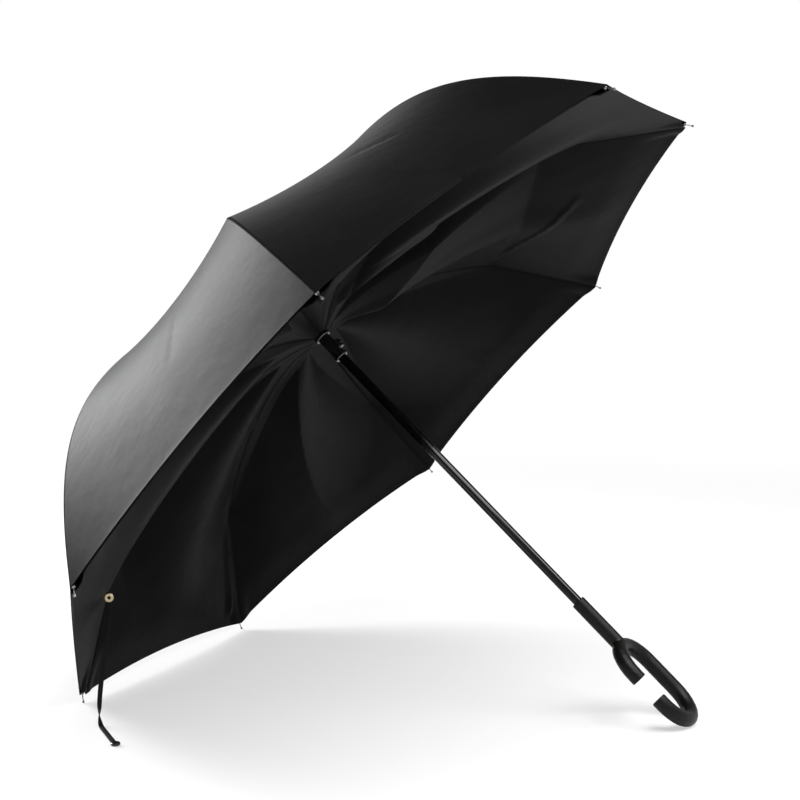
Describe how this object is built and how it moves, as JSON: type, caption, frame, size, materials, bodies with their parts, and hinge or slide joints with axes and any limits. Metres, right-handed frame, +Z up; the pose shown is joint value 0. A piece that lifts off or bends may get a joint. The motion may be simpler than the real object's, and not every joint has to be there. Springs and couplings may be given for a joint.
{
  "type": "inverted umbrella",
  "caption": "Inverted umbrella, open: two cloth layers on folding double ribs, a sliding runner with lock button, a closing strap and a C-shaped handle.",
  "frame": {"origin": "centre of the bounding box on the floor it rests on", "axes": "+Z up; +X the level direction from the canopy towards the handle; the shaft lies in a plane of X and Z"},
  "size_m": [0.7554, 0.9764, 0.7394],
  "materials": {
    "outer_cloth": "tight woven pongee, satin",
    "inner_cloth": "tight woven pongee, matte satin",
    "shaft_enamel": "gloss black enamel",
    "black_steel": "satin black",
    "hub_plastic": "moulded, half gloss",
    "glass_fibre": "pultruded rod, satin",
    "grip": "soft-touch rubber coating",
    "nickel": "nickel plate",
    "strap_tape": "folded and stitched cloth tape"
  },
  "bodies": {
    "root": {"shaft_tube": "shaft_enamel", "handle": "grip", "top_notch": "hub_plastic", "notch_wire": "nickel", "top_cap": "hub_plastic", "outer_canopy": "outer_cloth"},
    "runner": {"runner": "hub_plastic", "runner_wire": "nickel", "runner_collar": "nickel", "runner_ring": "nickel", "button_spring": "nickel", "inner_canopy": "inner_cloth"},
    "button": {"lock_button": "hub_plastic"},
    "top_rib_1": {"top_rib_1": "black_steel"},
    "strut_1": {"strut_1": "black_steel"},
    "outer_rib_1": {"rib_joint_1": "hub_plastic", "outer_rib_1": "glass_fibre", "rib_tip_1": "nickel"},
    "top_rib_2": {"top_rib_2": "black_steel"},
    "strut_2": {"strut_2": "black_steel"},
    "outer_rib_2": {"rib_joint_2": "hub_plastic", "outer_rib_2": "glass_fibre", "rib_tip_2": "nickel"},
    "top_rib_3": {"top_rib_3": "black_steel"},
    "strut_3": {"strut_3": "black_steel"},
    "outer_rib_3": {"rib_joint_3": "hub_plastic", "outer_rib_3": "glass_fibre", "rib_tip_3": "nickel"},
    "top_rib_4": {"top_rib_4": "black_steel"},
    "strut_4": {"strut_4": "black_steel"},
    "outer_rib_4": {"rib_joint_4": "hub_plastic", "outer_rib_4": "glass_fibre", "rib_tip_4": "nickel"},
    "top_rib_5": {"top_rib_5": "black_steel"},
    "strut_5": {"strut_5": "black_steel"},
    "outer_rib_5": {"rib_joint_5": "hub_plastic", "outer_rib_5": "glass_fibre", "rib_tip_5": "nickel"},
    "top_rib_6": {"top_rib_6": "black_steel"},
    "strut_6": {"strut_6": "black_steel"},
    "outer_rib_6": {"rib_joint_6": "hub_plastic", "outer_rib_6": "glass_fibre", "rib_tip_6": "nickel", "strap_stud": "nickel", "strap": "strap_tape", "strap_snap": "hub_plastic"},
    "top_rib_7": {"top_rib_7": "black_steel"},
    "strut_7": {"strut_7": "black_steel"},
    "outer_rib_7": {"rib_joint_7": "hub_plastic", "outer_rib_7": "glass_fibre", "rib_tip_7": "nickel"},
    "top_rib_8": {"top_rib_8": "black_steel"},
    "strut_8": {"strut_8": "black_steel"},
    "outer_rib_8": {"rib_joint_8": "hub_plastic", "outer_rib_8": "glass_fibre", "rib_tip_8": "nickel"}
  },
  "joints": [
    {"name": "runner_slide", "type": "slide", "parent": "root", "child": "runner", "axis": [0.7344, 0, -0.6787], "range_m": [0, 0.41667], "deforming": ["outer_canopy", "inner_canopy", "strap"]},
    {"name": "button_press", "type": "slide", "parent": "runner", "child": "button", "axis": [-0.6787, 0, -0.7344], "range_m": [0, 0.0012], "stiffness_N_per_m": 600, "springref_m": -0.0015, "deforming": ["button_spring"]},
    {"name": "top_rib_hinge_1", "type": "hinge", "parent": "root", "child": "top_rib_1", "pos_m": [-0.17272, -0.00063, 0.52712], "axis": [0.2597, 0.9239, 0.281], "range_deg": [0, 82.07]},
    {"name": "strut_hinge_1", "type": "hinge", "parent": "runner", "child": "strut_1", "pos_m": [-0.10559, -0.00478, 0.46273], "axis": [-0.2597, -0.9239, -0.281], "range_deg": [0, 69.23]},
    {"name": "rib_hinge_1", "type": "hinge", "parent": "strut_1", "child": "outer_rib_1", "pos_m": [-0.00488, -0.10026, 0.68353], "axis": [-0.2597, -0.9239, -0.281], "range_deg": [0, 51]},
    {"name": "top_rib_hinge_2", "type": "hinge", "parent": "root", "child": "top_rib_2", "pos_m": [-0.17506, 0.00894, 0.52459], "axis": [-0.2597, 0.9239, -0.281], "range_deg": [0, 82.07]},
    {"name": "strut_hinge_2", "type": "hinge", "parent": "runner", "child": "strut_2", "pos_m": [-0.10559, 0.00478, 0.46273], "axis": [0.2597, -0.9239, 0.281], "range_deg": [0, 69.23]},
    {"name": "rib_hinge_2", "type": "hinge", "parent": "strut_2", "child": "outer_rib_2", "pos_m": [-0.00488, 0.10026, 0.68353], "axis": [0.2597, -0.9239, 0.281], "range_deg": [0, 51]},
    {"name": "top_rib_hinge_3", "type": "hinge", "parent": "root", "child": "top_rib_3", "pos_m": [-0.1813, 0.01327, 0.51783], "axis": [-0.627, 0.3827, -0.6785], "range_deg": [0, 82.07]},
    {"name": "strut_hinge_3", "type": "hinge", "parent": "runner", "child": "strut_3", "pos_m": [-0.11018, 0.01155, 0.45776], "axis": [0.627, -0.3827, 0.6785], "range_deg": [0, 69.23]},
    {"name": "rib_hinge_3", "type": "hinge", "parent": "strut_3", "child": "outer_rib_3", "pos_m": [-0.10111, 0.24206, 0.57939], "axis": [0.627, -0.3827, 0.6785], "range_deg": [0, 51]},
    {"name": "top_rib_hinge_4", "type": "hinge", "parent": "root", "child": "top_rib_4", "pos_m": [-0.1878, 0.00983, 0.51081], "axis": [-0.627, -0.3827, -0.6785], "range_deg": [0, 82.07]},
    {"name": "strut_hinge_4", "type": "hinge", "parent": "runner", "child": "strut_4", "pos_m": [-0.11667, 0.01155, 0.45074], "axis": [0.627, 0.3827, 0.6785], "range_deg": [0, 69.23]},
    {"name": "rib_hinge_4", "type": "hinge", "parent": "strut_4", "child": "outer_rib_4", "pos_m": [-0.23721, 0.24206, 0.43213], "axis": [0.627, 0.3827, 0.6785], "range_deg": [0, 51]},
    {"name": "top_rib_hinge_5", "type": "hinge", "parent": "root", "child": "top_rib_5", "pos_m": [-0.19073, 0.00063, 0.50763], "axis": [-0.2597, -0.9239, -0.281], "range_deg": [0, 82.07]},
    {"name": "strut_hinge_5", "type": "hinge", "parent": "runner", "child": "strut_5", "pos_m": [-0.12127, 0.00478, 0.44577], "axis": [0.2597, 0.9239, 0.281], "range_deg": [0, 69.23]},
    {"name": "rib_hinge_5", "type": "hinge", "parent": "strut_5", "child": "outer_rib_5", "pos_m": [-0.33345, 0.10026, 0.32799], "axis": [0.2597, 0.9239, 0.281], "range_deg": [0, 51]},
    {"name": "top_rib_hinge_6", "type": "hinge", "parent": "root", "child": "top_rib_6", "pos_m": [-0.1884, -0.00894, 0.51016], "axis": [0.2597, -0.9239, 0.281], "range_deg": [0, 82.07]},
    {"name": "strut_hinge_6", "type": "hinge", "parent": "runner", "child": "strut_6", "pos_m": [-0.12127, -0.00478, 0.44577], "axis": [-0.2597, 0.9239, -0.281], "range_deg": [0, 69.23]},
    {"name": "rib_hinge_6", "type": "hinge", "parent": "strut_6", "child": "outer_rib_6", "pos_m": [-0.33345, -0.10026, 0.32799], "axis": [-0.2597, 0.9239, -0.281], "range_deg": [0, 51]},
    {"name": "top_rib_hinge_7", "type": "hinge", "parent": "root", "child": "top_rib_7", "pos_m": [-0.18215, -0.01327, 0.51691], "axis": [0.627, -0.3827, 0.6785], "range_deg": [0, 82.07]},
    {"name": "strut_hinge_7", "type": "hinge", "parent": "runner", "child": "strut_7", "pos_m": [-0.11667, -0.01155, 0.45074], "axis": [-0.627, 0.3827, -0.6785], "range_deg": [0, 69.23]},
    {"name": "rib_hinge_7", "type": "hinge", "parent": "strut_7", "child": "outer_rib_7", "pos_m": [-0.23721, -0.24206, 0.43213], "axis": [-0.627, 0.3827, -0.6785], "range_deg": [0, 51]},
    {"name": "top_rib_hinge_8", "type": "hinge", "parent": "root", "child": "top_rib_8", "pos_m": [-0.17566, -0.00983, 0.52394], "axis": [0.627, 0.3827, 0.6785], "range_deg": [0, 82.07]},
    {"name": "strut_hinge_8", "type": "hinge", "parent": "runner", "child": "strut_8", "pos_m": [-0.11018, -0.01155, 0.45776], "axis": [-0.627, -0.3827, -0.6785], "range_deg": [0, 69.23]},
    {"name": "rib_hinge_8", "type": "hinge", "parent": "strut_8", "child": "outer_rib_8", "pos_m": [-0.10111, -0.24206, 0.57939], "axis": [-0.627, -0.3827, -0.6785], "range_deg": [0, 51]}
  ],
  "couplings": [
    {"joint": "top_rib_hinge_1", "follows": "runner_slide", "rad_per_m": 3.4375},
    {"joint": "strut_hinge_1", "follows": "runner_slide", "rad_per_m": 2.9},
    {"joint": "rib_hinge_1", "follows": "runner_slide", "rad_per_m": 2.1363},
    {"joint": "top_rib_hinge_2", "follows": "runner_slide", "rad_per_m": 3.4375},
    {"joint": "strut_hinge_2", "follows": "runner_slide", "rad_per_m": 2.9},
    {"joint": "rib_hinge_2", "follows": "runner_slide", "rad_per_m": 2.1363},
    {"joint": "top_rib_hinge_3", "follows": "runner_slide", "rad_per_m": 3.4375},
    {"joint": "strut_hinge_3", "follows": "runner_slide", "rad_per_m": 2.9},
    {"joint": "rib_hinge_3", "follows": "runner_slide", "rad_per_m": 2.1363},
    {"joint": "top_rib_hinge_4", "follows": "runner_slide", "rad_per_m": 3.4375},
    {"joint": "strut_hinge_4", "follows": "runner_slide", "rad_per_m": 2.9},
    {"joint": "rib_hinge_4", "follows": "runner_slide", "rad_per_m": 2.1363},
    {"joint": "top_rib_hinge_5", "follows": "runner_slide", "rad_per_m": 3.4375},
    {"joint": "strut_hinge_5", "follows": "runner_slide", "rad_per_m": 2.9},
    {"joint": "rib_hinge_5", "follows": "runner_slide", "rad_per_m": 2.1363},
    {"joint": "top_rib_hinge_6", "follows": "runner_slide", "rad_per_m": 3.4375},
    {"joint": "strut_hinge_6", "follows": "runner_slide", "rad_per_m": 2.9},
    {"joint": "rib_hinge_6", "follows": "runner_slide", "rad_per_m": 2.1363},
    {"joint": "top_rib_hinge_7", "follows": "runner_slide", "rad_per_m": 3.4375},
    {"joint": "strut_hinge_7", "follows": "runner_slide", "rad_per_m": 2.9},
    {"joint": "rib_hinge_7", "follows": "runner_slide", "rad_per_m": 2.1363},
    {"joint": "top_rib_hinge_8", "follows": "runner_slide", "rad_per_m": 3.4375},
    {"joint": "strut_hinge_8", "follows": "runner_slide", "rad_per_m": 2.9},
    {"joint": "rib_hinge_8", "follows": "runner_slide", "rad_per_m": 2.1363}
  ]
}
